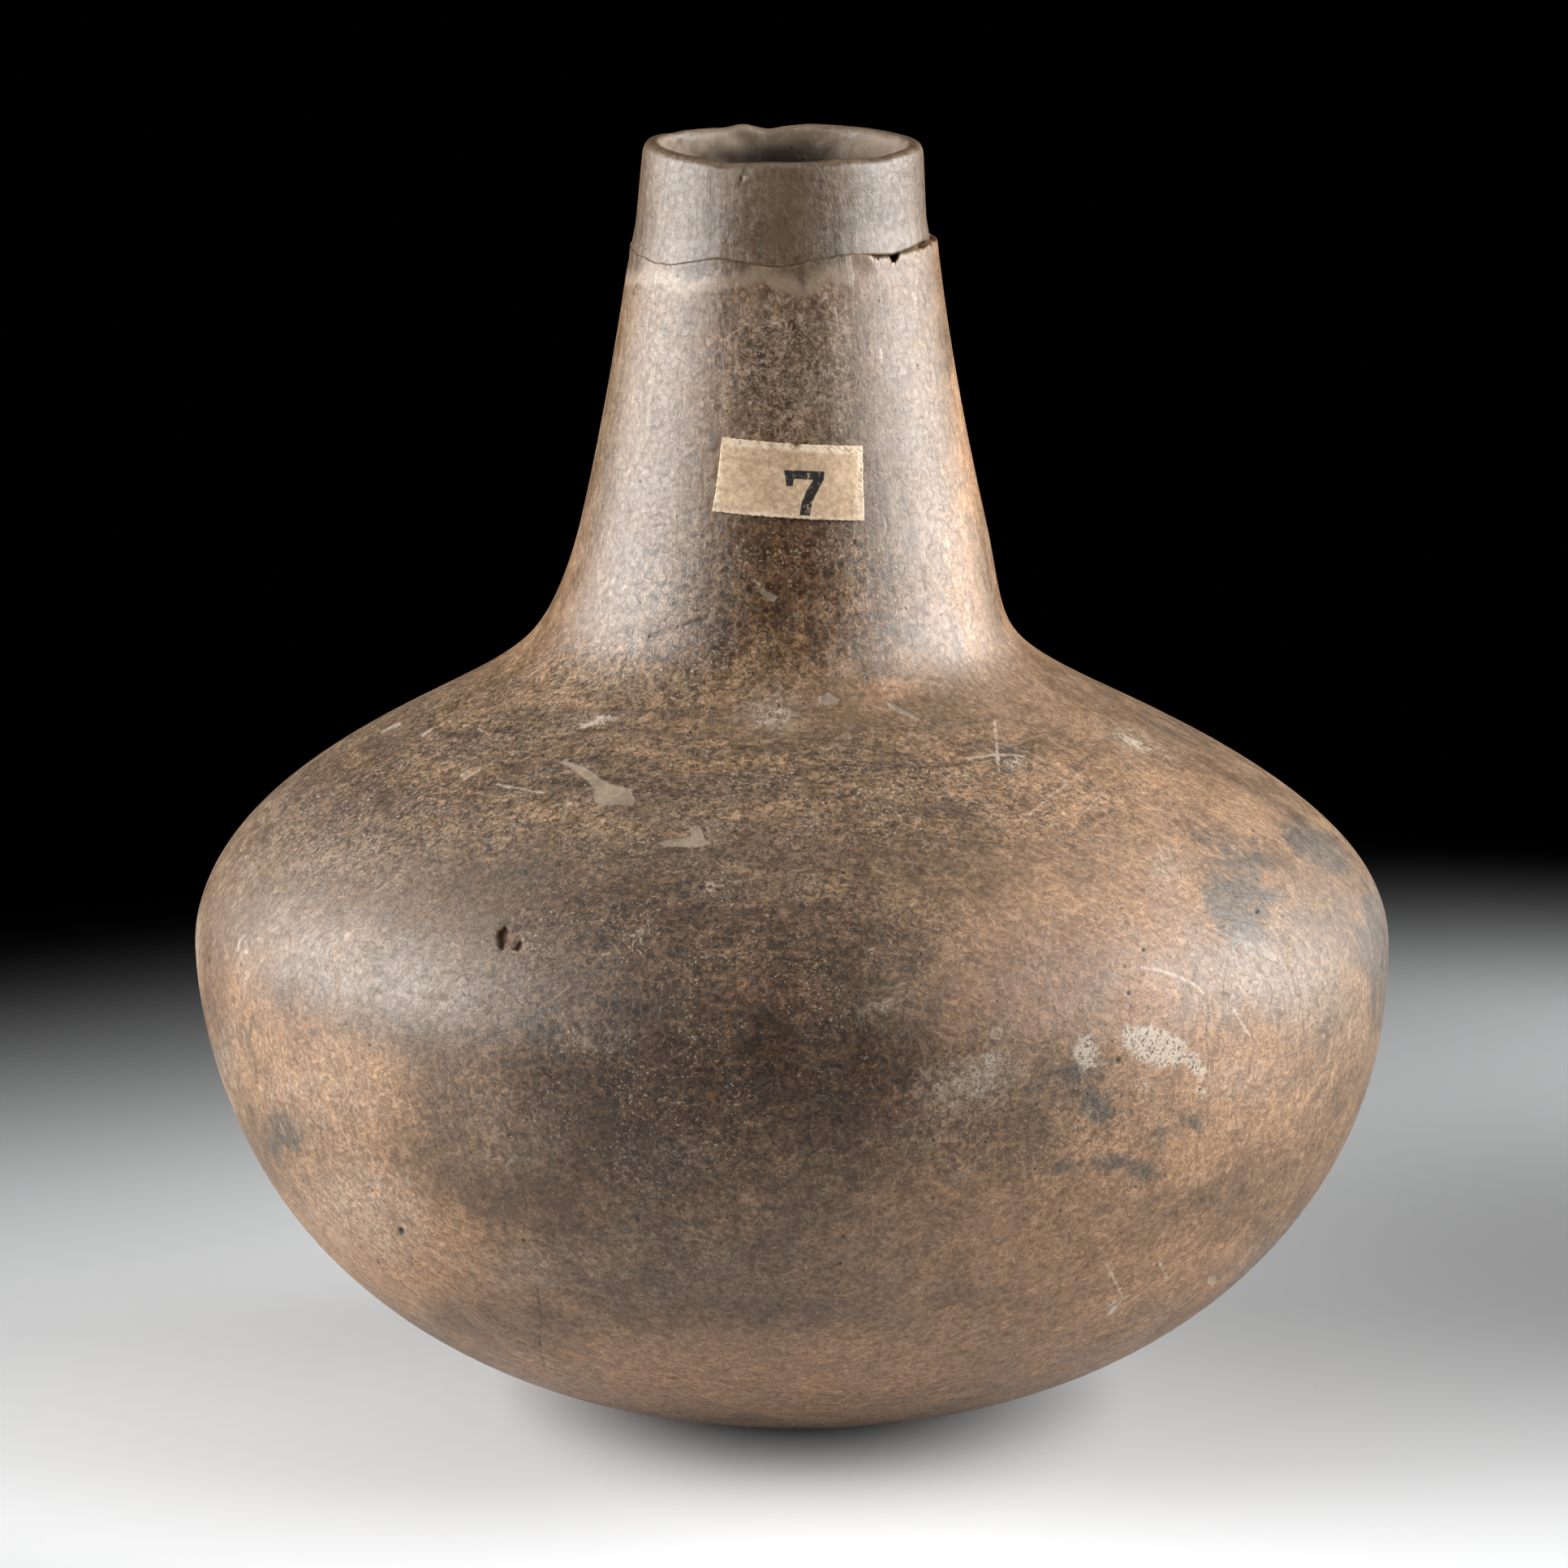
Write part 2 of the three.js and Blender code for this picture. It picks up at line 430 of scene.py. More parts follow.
def painted(tree, name):
    return addNode(tree, "ShaderNodeAttribute", attribute_name=name).outputs["Fac"]


# the bottle's body

body = {
    # dark fire clouds; the two tall narrow spots at the belly's left and right edges are painted shade that
    # darkens the silhouette
    "cloud": [
        (850, 1310, 240, 190, 0.85), (1000, 1240, 160, 120, 0.75), (720, 1530, 170, 90, 0.4),
        (800, 1130, 200, 60, 0.55), (970, 450, 90, 130, 0.3), (965, 700, 100, 90, 0.75),
        (960, 790, 180, 60, 0.5), (700, 1400, 130, 130, 0.4), (1060, 1350, 110, 70, 0.6),
        (1080, 1150, 100, 60, 0.5), (640, 1080, 120, 30, 0.35), (960, 270, 80, 60, 0.4),
        (890, 1000, 60, 30, 0.2), (258, 1230, 34, 190, 0.5), (1706, 1200, 22, 170, 0.35),
        (515, 950, 190, 75, 0.8, -14), (960, 1222, 90, 30, 0.3),
    ],
    "cool": [
        (520, 960, 280, 110, 0.95, -12), (760, 1050, 330, 110, 0.8), (860, 1580, 300, 100, 0.3),
        (800, 600, 100, 300, 0.85), (970, 450, 80, 140, 0.75), (340, 1100, 90, 90, 0.5),
        (1090, 550, 80, 280, 0.8), (900, 950, 250, 60, 0.4), (520, 1250, 150, 60, 0.6),
        (600, 1190, 180, 60, 0.6),
    ],
    "warm": [
        (1380, 1010, 240, 110, 0.72, 20), (1300, 1190, 210, 120, 0.9), (1230, 1520, 230, 120, 0.65, -10),
        (1480, 1340, 170, 120, 0.7, -20), (420, 1330, 120, 90, 0.8, 20), (470, 1515, 150, 90, 0.95, 30),
        (930, 1690, 380, 70, 0.9), (1400, 1600, 180, 70, 0.6, -30), (1190, 520, 24, 220, 0.6),
        (620, 1560, 130, 50, 0.5, 20), (1400, 1415, 100, 50, 0.7), (650, 860, 120, 25, 0.6, -10),
        (1000, 960, 180, 26, 0.4), (290, 1260, 70, 110, 0.5), (820, 912, 90, 9, 0.7, 4),
        (1090, 848, 40, 22, 0.7), (1170, 930, 60, 16, 0.4, 20),
    ],
    "blue": [
        (1525, 1110, 60, 62, 0.75, 10), (1620, 1045, 60, 30, 0.8, 35), (1695, 1170, 24, 110, 0.8),
        (1352, 1367, 28, 22, 1, 40), (1310, 1330, 70, 22, 0.6, -20), (1450, 1395, 50, 20, 0.6, -15),
        (1365, 1432, 30, 18, 0.9), (1310, 1432, 20, 15, 0.8), (1410, 1438, 24, 14, 0.8),
        (1245, 935, 30, 30, 0.65), (350, 1402, 30, 44, 0.7), (1560, 1560, 90, 22, 0.75, -45),
        (1440, 900, 60, 16, 0.4, 25), (380, 1278, 14, 12, 0.7), (1510, 1040, 60, 26, 0.45, 20),
        (1180, 1390, 40, 26, 0.4), (640, 1080, 80, 24, 0.5), (870, 1100, 60, 26, 0.4),
        (1095, 1600, 20, 14, 0.5), (310, 1290, 20, 60, 0.4, 10),
    ],
    "red": [
        (985, 690, 46, 56, 0.5), (960, 1222, 70, 26, 0.6), (1115, 1362, 46, 36, 0.6),
        (920, 460, 14, 60, 0.35), (1180, 1240, 60, 24, 0.3), (940, 1235, 100, 40, 0.3),
        (1300, 1205, 120, 80, 0.55),
    ],
    "chalk": [
        (1422, 1288, 52, 27, 0.9, 22), (1475, 1315, 26, 12, 0.6, 50), (1338, 1296, 20, 26, 0.8),
        (1190, 1338, 60, 26, 0.5, -12), (1222, 1305, 24, 15, 0.56), (950, 880, 34, 22, 0.5),
        (1400, 917, 34, 8, 0.6, 24), (738, 887, 30, 9, 0.6, -10), (1250, 942, 18, 13, 0.5),
        (1090, 1240, 24, 16, 0.35, -20), (1375, 1612, 16, 16, 0.45, 30), (1437, 1070, 14, 20, 0.5),
        (1180, 1445, 36, 24, 0.36, 20), (300, 1180, 10, 80, 0.4, -8), (790, 1150, 8, 20, 0.4, 10),
        (1480, 1345, 14, 10, 0.5), (1330, 1460, 14, 10, 0.4), (850, 1060, 40, 12, 0.3),
        (980, 760, 12, 10, 0.4),
    ],
    # whitish haze on the clay, and painted sheen: the spots on the belly's two lamp highlights and the thin
    # strip of painted glints down the neck's right side
    "haze": [
        (440, 1180, 130, 60, 0.5, 15), (540, 1215, 60, 50, 0.5, 30), (1540, 1200, 110, 70, 0.35),
        (1620, 1240, 60, 40, 0.4), (830, 1420, 70, 30, 0.35), (740, 1280, 50, 26, 0.45),
        (1437, 1070, 26, 34, 0.6), (1190, 1335, 80, 40, 0.8, -12), (1130, 1400, 50, 20, 0.4),
        (1540, 1330, 60, 30, 0.4), (955, 880, 60, 34, 0.6), (720, 890, 70, 16, 0.4, -10),
        (1400, 915, 60, 18, 0.5, 24), (620, 1400, 90, 60, 0.3), (800, 1000, 140, 30, 0.25),
        (1090, 1240, 50, 20, 0.45, -20), (560, 930, 120, 20, 0.35, -15), (1035, 455, 16, 110, 0.35, -2),
        (970, 450, 80, 140, 0.4), (800, 1560, 200, 70, 0.2), (450, 1490, 100, 70, 0.7, 30),
        (400, 1350, 100, 60, 0.45), (1560, 1540, 70, 30, 0.3, -40), (240, 1180, 12, 120, 0.5),
        (266, 1340, 30, 100, 0.5, 14), (640, 1560, 80, 30, 0.3),
    ],
    "gritty": [
        (520, 960, 330, 130, 0.95, -12), (900, 980, 420, 90, 0.9), (960, 470, 100, 150, 0.75),
        (950, 740, 190, 120, 1), (800, 830, 190, 50, 1), (860, 1300, 300, 190, 0.85),
        (900, 1130, 300, 90, 0.9), (1240, 970, 230, 90, 0.4), (1250, 1370, 230, 110, 0.45),
        (860, 1530, 300, 110, 0.3), (500, 1400, 130, 120, 0.2),
    ],
    "streaky": [
        (940, 945, 460, 90, 0.8), (620, 890, 200, 60, 0.7, -15), (1260, 970, 240, 80, 0.6, 15),
        (700, 1030, 260, 60, 0.5), (1000, 1180, 360, 70, 0.35), (1180, 1420, 260, 120, 0.25),
    ],
    "behind": {
        "cloud": [(900, 1250, 260, 160, 0.7), (1240, 1050, 150, 60, 0.4, 10)],
        "cool": [(1150, 1000, 300, 120, 0.7), (700, 1500, 200, 120, 0.6), (965, 500, 180, 220, 0.5)],
        "warm": [(560, 1120, 240, 140, 0.7, -10), (1250, 1480, 260, 140, 0.7), (900, 1680, 330, 60, 0.6)],
        "blue": [(1420, 1200, 90, 40, 0.7, 20), (640, 1390, 60, 34, 0.6), (470, 1040, 50, 30, 0.6, -30)],
        "red": [(1000, 1300, 90, 40, 0.4)],
        "chalk": [(620, 1260, 50, 30, 0.5), (1290, 1300, 44, 22, 0.4)],
        "haze": [(700, 1240, 160, 70, 0.5), (1300, 1180, 160, 80, 0.5)],
        "gritty": [(965, 500, 200, 300, 0.7), (900, 1000, 500, 120, 0.8), (900, 1300, 300, 150, 0.6)],
        "streaky": [(940, 950, 560, 90, 0.8)],
    },
    "wrap": 0.45,  # how far round the sides a painted mark runs on
    "neckStarts": (112 * mm, 128 * mm),
    "finer": (36, 20, 8),  # the mesh is cut finer three times, this close to a mark in pixels
    "unevenness": 0.25 * mm,
    "unevenSize": 45 * mm,
}

# crisp marks on the body, in pixels of the photograph
marks = {
    "flakes": [
        [(684, 938), (693, 936), (706, 940), (719, 944), (730, 951), (738, 958), (750, 965), (768, 969),
         (777, 974), (781, 984), (778, 992), (762, 991), (745, 992), (733, 988), (730, 980), (731, 971),
         (724, 962), (712, 953), (699, 943)],
        [(810, 1039), (820, 1034), (841, 1032), (852, 1030), (848, 1018), (856, 1016), (865, 1023),
         (866, 1032), (875, 1038), (859, 1043), (841, 1043), (820, 1042)],
        [(1093, 864), (1101, 866), (1118, 875), (1133, 883), (1136, 887), (1128, 886), (1110, 878),
         (1098, 872)],
        [(938, 723), (944, 728), (952, 731), (957, 736), (953, 741), (946, 739), (940, 733), (934, 726)],
        [(568, 958), (578, 951), (590, 945), (592, 948), (580, 955), (570, 961)],
        [(694, 985), (699, 980), (700, 990), (696, 1003), (691, 1013), (689, 1008), (693, 997)],
        [(1010, 859), (1022, 852), (1036, 861), (1032, 867), (1020, 868), (1010, 865)],
        [(1490, 1574), (1500, 1571), (1503, 1578), (1496, 1584), (1489, 1582)],
    ],
    "cracks": [  # half width, depth, line
        (0.6, 0.25 * mm, [(800, 783), (815, 779), (826, 774), (833, 775), (850, 767), (864, 764),
         (872, 760)]),
        (0.6, 0.1 * mm, [(662, 1588), (664, 1610), (668, 1628), (664, 1650), (667, 1672), (671, 1688)]),
        (0.2, 0.08 * mm, [(1480, 1215), (1489, 1240), (1486, 1275), (1490, 1305), (1487, 1330)]),
        (0, 0.05 * mm, [(1135, 708), (1140, 722), (1143, 738)]),
        (0.2, 0.08 * mm, [(1090, 636), (1094, 648), (1091, 658)]),
    ],
    "scratches": [  # half width, line
        (1.3, [(1408, 1192), (1428, 1195), (1448, 1201), (1470, 1211), (1484, 1224)]),
        (1.2, [(1226, 888), (1228, 915), (1231, 948)]), (0.9, [(1195, 934), (1225, 929), (1262, 931)]),
        (0.2, [(1268, 1003), (1290, 984), (1328, 954)]), (0.4, [(1340, 996), (1350, 984), (1362, 974)]),
        (0.8, [(1362, 1556), (1374, 1578), (1384, 1600)]), (1, [(1392, 1596), (1378, 1606), (1366, 1620)]),
        (0.6, [(1430, 1558), (1440, 1578)]), (0.8, [(1052, 985), (1060, 972)]),
        (1.2, [(470, 901), (492, 891)]), (1, [(520, 905), (532, 898)]),
        (0.8, [(612, 966), (636, 970), (668, 976)]), (1, [(1520, 1243), (1528, 1257), (1540, 1275)]),
        (1.4, [(1223, 1270), (1230, 1266), (1235, 1273), (1231, 1280), (1223, 1279), (1223, 1270)]),
        (0.8, [(872, 1088), (878, 1088), (881, 1093), (876, 1097), (870, 1094)]),
        (0.6, [(929, 714), (938, 724)]), (1, [(568, 955), (580, 948)]), (0.8, [(590, 898), (604, 905)]),
        (1, [(716, 896), (728, 890), (742, 884)]), (1, [(1476, 1300), (1480, 1318)]),
        (1.2, [(1412, 1336), (1414, 1348)]), (0.6, [(1086, 430), (1088, 446)]),
        (1.4, [(742, 1176), (750, 1174)]), (0.8, [(798, 1126), (800, 1150)]),
    ],
    "spalls": [
        [(611, 1153), (615, 1145), (622, 1141), (626, 1144), (624, 1151), (626, 1157), (621, 1163),
         (619, 1169), (612, 1167), (613, 1160)],
        [(634, 1163), (639, 1156), (643, 1159), (642, 1166), (637, 1172), (633, 1169)],
    ],
    "spallFacet": [
        (613, 1146), (622, 1140), (630, 1146), (638, 1147), (645, 1156), (644, 1168), (638, 1173),
        (628, 1166), (618, 1171), (611, 1165),
    ],
    "spallsAt": (628, 1157),
    "flakeDeep": 0.15 * mm,
    "holeDeep": 0.5 * mm,
    "facetDeep": 0.35 * mm,
    "pits": [  # x, y, half width, half height, tilt, depth
        (1549, 1122, 2.6, 3.2, 30, 0.3 * mm),
        (1036, 1558, 3.4, 2.4, 0, 0.3 * mm),
        (1409, 1170, 2.4, 2.6, 0, 0.3 * mm),
        (1391, 1224, 2.2, 2.8, 0, 0.3 * mm),
        (1393, 1240, 1.8, 2.4, 0, 0.2 * mm),
        (493, 1518, 3.6, 5.5, -25, 0.4 * mm),
        (458, 1468, 2, 2.4, 0, 0.3 * mm),
        (818, 1420, 2, 2.4, 0, 0.2 * mm),
        (1378, 1307, 3, 4.5, 30, 0.2 * mm),
        (1282, 1026, 2.2, 1.8, 0, 0.2 * mm),
    ],
}

# the joint between neck and ring, and the filler smeared below it
joint = {
    "fillerTop": [(1112, 300), (740, 300)],
    "fillerEdge": [
        (740, 356), (775, 352), (800, 349), (827, 355), (841, 368), (858, 363), (883, 357), (917, 354),
        (940, 346), (956, 357), (973, 359), (990, 370), (998, 368), (1007, 354), (1018, 347), (1040, 352),
        (1052, 346), (1061, 335), (1071, 326), (1085, 322), (1100, 326), (1112, 322),
    ],
    "fillerDeep": 0.08 * mm,
    "closing": 0.27 * mm,  # how far the neck's edge comes up to the ring where the joint is filled
    "lap": (0.5 * mm, 0.12 * mm),  # how far the filler laps up over the ring, and stands out from it
    "reach": 4.5 * mm,  # how far below the joint the filler takes up the step
    "finer": (9 * mm, 4.6 * mm),  # the mesh is cut finer twice, this far below the neck's top
    "axis": -1.3 * mm,  # middle of the neck
    "edgeRadius": 24.1 * mm,
    "innerRadius": 19.3 * mm,
    "step": (0.75 * mm, 0.5 * mm),  # ring narrower than the neck, and shifted to the left
    "open": [(1071, 1109), (1126, 1156)],  # pixels across, where the break stands open
    "chipDeep": 0.9 * mm,
    "thin": (855, 1005),  # where a thin line shows between filler and ring
    "chip": [
        (1091, 311), (1098, 312), (1100, 305), (1103, 312), (1108, 311), (1104, 317), (1106, 326),
        (1101, 319), (1096, 321), (1097, 315),
    ],
}


def nearCrisp(reach):
    # marks that need a fine mesh under them
    def wanted(points, normals):
        seen = seenInPhoto(points)
        near = np.zeros(len(points), bool)
        for shape in marks["flakes"] + marks["spalls"]:
            near |= farFromShape(seen, shape) < reach
        for mark in marks["cracks"] + marks["scratches"]:
            near |= farFromLine(seen, mark[-1]) < reach
        for x, y, wide, high, *rest in marks["pits"]:
            near |= np.hypot(*(seen - (x, y)).T) < max(wide, high) + reach
        return near & (facing(points, normals) > 0.05) & outside(points, normals)
    return wanted


def nearSpalls(points, normals):
    seen = seenInPhoto(points)
    near = np.hypot(*(seen - marks["spallsAt"]).T) < 30
    return near & (facing(points, normals) > 0.05) & outside(points, normals)


def nearBreak(reach):
    # the front of the neck's top, and the broken edge
    def wanted(points, normals):
        seen = seenInPhoto(points)
        high = (points[:, 2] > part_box("bottle_body")[1].z - reach) & (points[:, 1] < 6 * mm)
        high &= (np.abs(seen[:, 0] - 965) < 210) & outside(points, normals)
        return high & ((facing(points, normals) > 0.02) | (normals[:, 2] > 0.6))
    return wanted


def fromAxis(points):
    return points[:, 0] - joint["axis"], points[:, 1]


def roundUp(points):
    # the neck's top was cut finer in flat strips of 3 degrees: put them back on the round
    x, y = fromAxis(points)
    angle = np.degrees(np.arctan2(x, -y))
    aside = np.radians(angle - (np.floor(angle / 3) + 0.5) * 3)
    grow = np.where(points[:, 2] > 165 * mm, np.cos(aside) / math.cos(math.radians(1.5)), 1)
    points[:, 0] = joint["axis"] + x * grow
    points[:, 1] = y * grow
    return points


def thinInside(piece):
    # the inside needs fewer rings: two of each three are dissolved
    points, normals = readPoints(piece)
    mesh = piece.data
    deep = (points[:, 2] > 9 * mm) & (points[:, 2] < 165 * mm) & ~outside(points, normals, 0)
    levels = sorted({round(float(z), 5) for z in points[deep, 2]})
    dropped = {z for i, z in enumerate(levels) if i % 3}
    chosen = []
    for edge in mesh.edges:
        a, b = edge.vertices
        sameRing = abs(points[a, 2] - points[b, 2]) < 0.01 * mm
        chosen.append(bool(sameRing and deep[a] and deep[b] and round(float(points[a, 2]), 5) in dropped))
    selectParts(piece, "EDGE", mesh.edges, chosen)
    bpy.ops.mesh.dissolve_edges(use_verts=True)
    bpy.ops.object.mode_set(mode="OBJECT")


def outlineMask(far, reach):
    # 0.5 on a mark's outline, 1 this many pixels inside it and 0 this many outside
    return np.clip(0.5 - far / (2 * reach), 0, 1)


def paintSide(piece, points, normals, name):
    # front and back paint, each fading out where the surface turns away
    near, far = facing(points, normals), facing(points, normals, turned=True)
    outward = outside(points, normals, -0.02)
    front = spotMask(seenInPhoto(points), body[name]) * smooth(near, -body["wrap"], 0.02)
    back = spotMask(seenInPhoto(points, turned=True), body["behind"][name]) * smooth(far, -0.1, 0.35)
    return (1 - (1 - front) * (1 - back)) * outward


def nearJoint(points, ring, below, above):
    # 0 this far below the ring's foot, 1 from this close to it; below 0 means above the foot
    other = readVectors(ring.data.vertices, "co")
    angle = np.arctan2(points[:, 0] - joint["axis"], -points[:, 1])
    otherAngle = np.arctan2(other[:, 0] - joint["axis"], -other[:, 1])
    turns = np.linspace(-math.pi, math.pi, 61)
    foot = np.array([
        other[np.abs(np.angle(np.exp(1j * (otherAngle - a)))) < math.radians(5)][:, 2].min() for a in turns
    ])
    rise = points[:, 2] - np.interp(angle, turns, foot)
    return smooth(rise, -below, -above)


def shapeJoint(points, seen, front, ring):
    # filler closes the joint and takes up the step, but on the right the break stays open and stands proud
    opened = np.zeros(len(points))
    for stretch in joint["open"]:
        opened = np.maximum(opened, window(seen[:, 0], stretch, 6))
    opened *= front
    thin = window(seen[:, 0], joint["thin"], 30) * front
    left = 1 - smooth(seen[:, 0], 1050, 1080)
    x, y = fromAxis(points)
    radius = np.hypot(x, y)
    narrower, aside = joint["step"]
    step = narrower + aside * x / radius
    wall = np.clip((radius - joint["innerRadius"]) / (joint["edgeRadius"] - joint["innerRadius"]), 0, 1)
    slope = nearJoint(points, ring, joint["reach"], 0.2 * mm)
    grow = 1 - left * slope * wall * step / radius
    points[:, 0] = joint["axis"] + x * grow
    points[:, 1] = y * grow
    edge = nearJoint(points, ring, 2.2 * mm, 0.5 * mm)
    lap = left * (1 - opened) * (1 - 0.7 * thin) * smooth(wall, 0.84, 0.93)
    lap = lap * nearJoint(points, ring, 1.4 * mm, 0.4 * mm) * (0.7 + 0.5 * lumps(points, 2 * mm, 10, 2))
    up, out = joint["lap"]
    points[:, 0] += out * lap * x / radius
    points[:, 1] += out * lap * y / radius
    points[:, 2] += up * lap
    raised = joint["closing"] * (1 - opened) * (1 - thin * (0.1 + 0.4 * lumps(points, 1.2 * mm, 9, 2)))
    far = farFromShape(seen, joint["chip"]) + 1.2 * lumps(points, 0.4 * mm, 8, 2)
    chip = joint["chipDeep"] * outlineMask(far, 1.5) * front
    notch = joint["chipDeep"] * opened * (1.6 * np.abs(lumps(points, 0.6 * mm, 11, 3)) - 0.05)
    points[:, 2] += edge * (raised - chip - np.maximum(notch, 0))
    return points


def makeBody():
    piece = copyNode("bottle_body", "bottle_clay")
    thinInside(piece)
    creaseEdges(piece, 50)
    subdivideAll(piece, 1)
    for reach in body["finer"]:
        subdivideWhere(piece, nearCrisp(reach))
    subdivideWhere(piece, nearSpalls)
    for reach in joint["finer"]:
        subdivideWhere(piece, nearBreak(reach), smoothness=0)
    subdivideAll(piece, 1)
    points, normals = readPoints(piece)
    points = roundUp(points)
    writePoints(piece, points)
    points, normals = readPoints(piece)
    seen, near = seenInPhoto(points), facing(points, normals)
    front = smooth(near, 0, 0.15)
    outward = outside(points, normals, -0.02)
    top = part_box("bottle_body")[1].z

    # unevenness of the hand, only ever inwards
    sink = body["unevenness"] * (0.5 + 0.5 * lumps(points, body["unevenSize"], 1, 2))
    height = points[:, 2]
    sink *= outward * smooth(height, 1 * mm, 12 * mm) * (1 - smooth(height, top - 16 * mm, top))

    flake, crack, scratch, pit, hole = (np.zeros(len(points)) for _ in range(5))
    for shape in marks["flakes"]:
        flake = np.maximum(flake, outlineMask(farFromShape(seen, shape), 5) * front)
    wander = lumps(points, 1.3 * mm, 3, 2)
    for wide, deep, path in marks["cracks"]:
        line = outlineMask(farFromLine(seen, path) + wander - wide, 3) * front
        crack = np.maximum(crack, line)
        sink += deep * line
    for wide, path in marks["scratches"]:
        line = outlineMask(farFromLine(seen, path) + 0.5 * wander - wide, 3) * front
        scratch = np.maximum(scratch, line)
    for x, y, wide, high, tilt, deep in marks["pits"]:
        far = (inEllipse(seen + wander[:, None], x, y, wide, high, tilt) - 1) * min(wide, high)
        pit = np.maximum(pit, outlineMask(far, 2.5) * front)
        sink += deep * (1 - smooth(far, -3, 1)) * front
    crumble = lumps(points, 0.6 * mm, 4, 2)
    for shape in marks["spalls"]:
        far = farFromShape(seen, shape) + 1.2 * crumble
        hole = np.maximum(hole, outlineMask(far, 3) * front)
        sink += marks["holeDeep"] * (1 - smooth(far, -5, 1)) * front
    far = farFromShape(seen, marks["spallFacet"]) + 1.5 * crumble
    spall = outlineMask(far, 3) * front
    sink += marks["facetDeep"] * (1 - smooth(far, -3, 1)) * front
    far = farFromShape(seen, joint["fillerTop"] + joint["fillerEdge"]) + 3 * lumps(points, 1.6 * mm, 5, 3)
    filler = outlineMask(far, 8) * front
    far = farFromLine(seen, joint["fillerEdge"]) + 6 * lumps(points, 2.2 * mm, 6, 3)
    rim = (1 - smooth(far, 5, 27)) * smooth(filler, 0.35, 0.6)
    sink += marks["flakeDeep"] * smooth(flake, 0.35, 0.65)
    sink -= joint["fillerDeep"] * smooth(filler, 0.4, 0.7) * outward
    points = points - normals * sink[:, None]
    points = shapeJoint(points, seen, front, frame["nodes"]["neck_ring"])
    writePoints(piece, points)

    for name in ("cloud", "cool", "warm", "blue", "red", "chalk", "haze", "gritty", "streaky"):
        writeMask(piece, name, paintSide(piece, points, normals, name))
    masks = {
        "flake": flake, "crack": np.maximum(crack, pit), "scratch": scratch, "filler": filler,
        "fillerRim": rim, "spall": spall, "hole": hole, "inside": 1.0 * ~outward,
        "neck": smooth(points[:, 2], *body["neckStarts"]),
    }
    for name, mask in masks.items():
        writeMask(piece, name, mask)
    return piece


bodyClay = {
    "tones": {
        "brown": (0.09, 0.053, 0.027), "tan": (0.158, 0.095, 0.05), "orange": (0.239, 0.137, 0.071),
        "grey": (0.102, 0.068, 0.041), "dark": (0.056, 0.031, 0.016), "blue": (0.062, 0.051, 0.039),
        "red": (0.08, 0.033, 0.018), "chalk": (0.44, 0.36, 0.275), "flake": (0.25, 0.188, 0.125),
        "paste": (0.26, 0.187, 0.125), "shadeAndSoot": (0.012, 0.008, 0.005), "pale": (0.36, 0.28, 0.2),
        "rust": (0.2, 0.12, 0.065), "umber": (0.032, 0.018, 0.01), "grime": (0.115, 0.076, 0.044),
        "haze": (0.23, 0.185, 0.14), "ochre": (0.21, 0.125, 0.062), "gritTint": (1.06, 0.95, 0.82),
        "clayTint": (0.98, 1.01, 1.07),
    },
    "strokes": {"Round": 950, "Up": 9},
    "grit": 860,
    "neckLift": 1.32,  # the neck is brighter than the belly by this
    "roughness": (0.44, 0.27),  # belly and neck
    "relief": 0.22 * mm,
    # painted mask, noise that breaks it up and how far, softness, strength, tone
    "stains": [
        ("warm", "broad", 1, 0.45, 1, "orange"), ("cool", "drift", 1.2, 0.5, 1, "grey"),
        ("cloud", "broad", -1.1, 0.5, 1, "dark"), ("red", "patchy", 1.4, 0.5, 0.6, "red"),
        ("blue", "patchy", -2, 0.3, 0.84, "blue"),
    ],
    "filmAndSheen": [("haze", "fine", 2, 0.5, 0.6, "haze")],
    "marks": [
        ("chalk", "fine", 1.7, 0.22, 0.9, "deposit"), ("scratch", "fine", 2, 0.3, 0.75, "chalk"),
        ("flake", "fine", 0.5, 0.1, 1, "chipped"), ("filler", "fine", 0.5, 0.12, 1, "filler"),
        ("fillerRim", "fine", 1.6, 0.5, 0.8, "paste"), ("spall", "fine", 0.9, 0.15, 1, "rubble"),
        ("hole", "fine", 0.7, 0.1, 1, "hollow"), ("crack", "fine", 1.2, 0.2, 0.95, "shadeAndSoot"),
    ],
}


def withAlpha(tones):
    return {name: (*tone, 1) for name, tone in tones.items()}


def addRelief(tree, shader, height, deep):
    bump = addNode(tree, "ShaderNodeBump", {"Strength": 0.5, "Distance": deep, "Height": height})
    tree.links.new(bump.outputs["Normal"], shader.inputs["Normal"])


def brokenPatch(tree, mask, grain, strength, soft, share=1):
    given = {"Mask": mask, "Grain": grain, "Break": strength, "Softness": soft}
    found = useGroup(tree, raggedEdge, given)["Mask"]
    return found if share == 1 else times(tree, found, share)


def greyClayColour(tree, place, upStroke, brightness):
    # the ring's clay, also used where filler of the same tone runs down onto the neck
    mottle = grainNoise(tree, place, 90, 4, 0.75, 0.4)
    tones = withAlpha(ring["tones"])
    colour = blendColour(tree, between(tree, mottle, 0.35, 0.65), tones["shade"], tones["clay"])
    colour = shaded(tree, colour, between(tree, upStroke, 0.3, 0.7, 0.78, 1.22))
    return shaded(tree, colour, brightness)


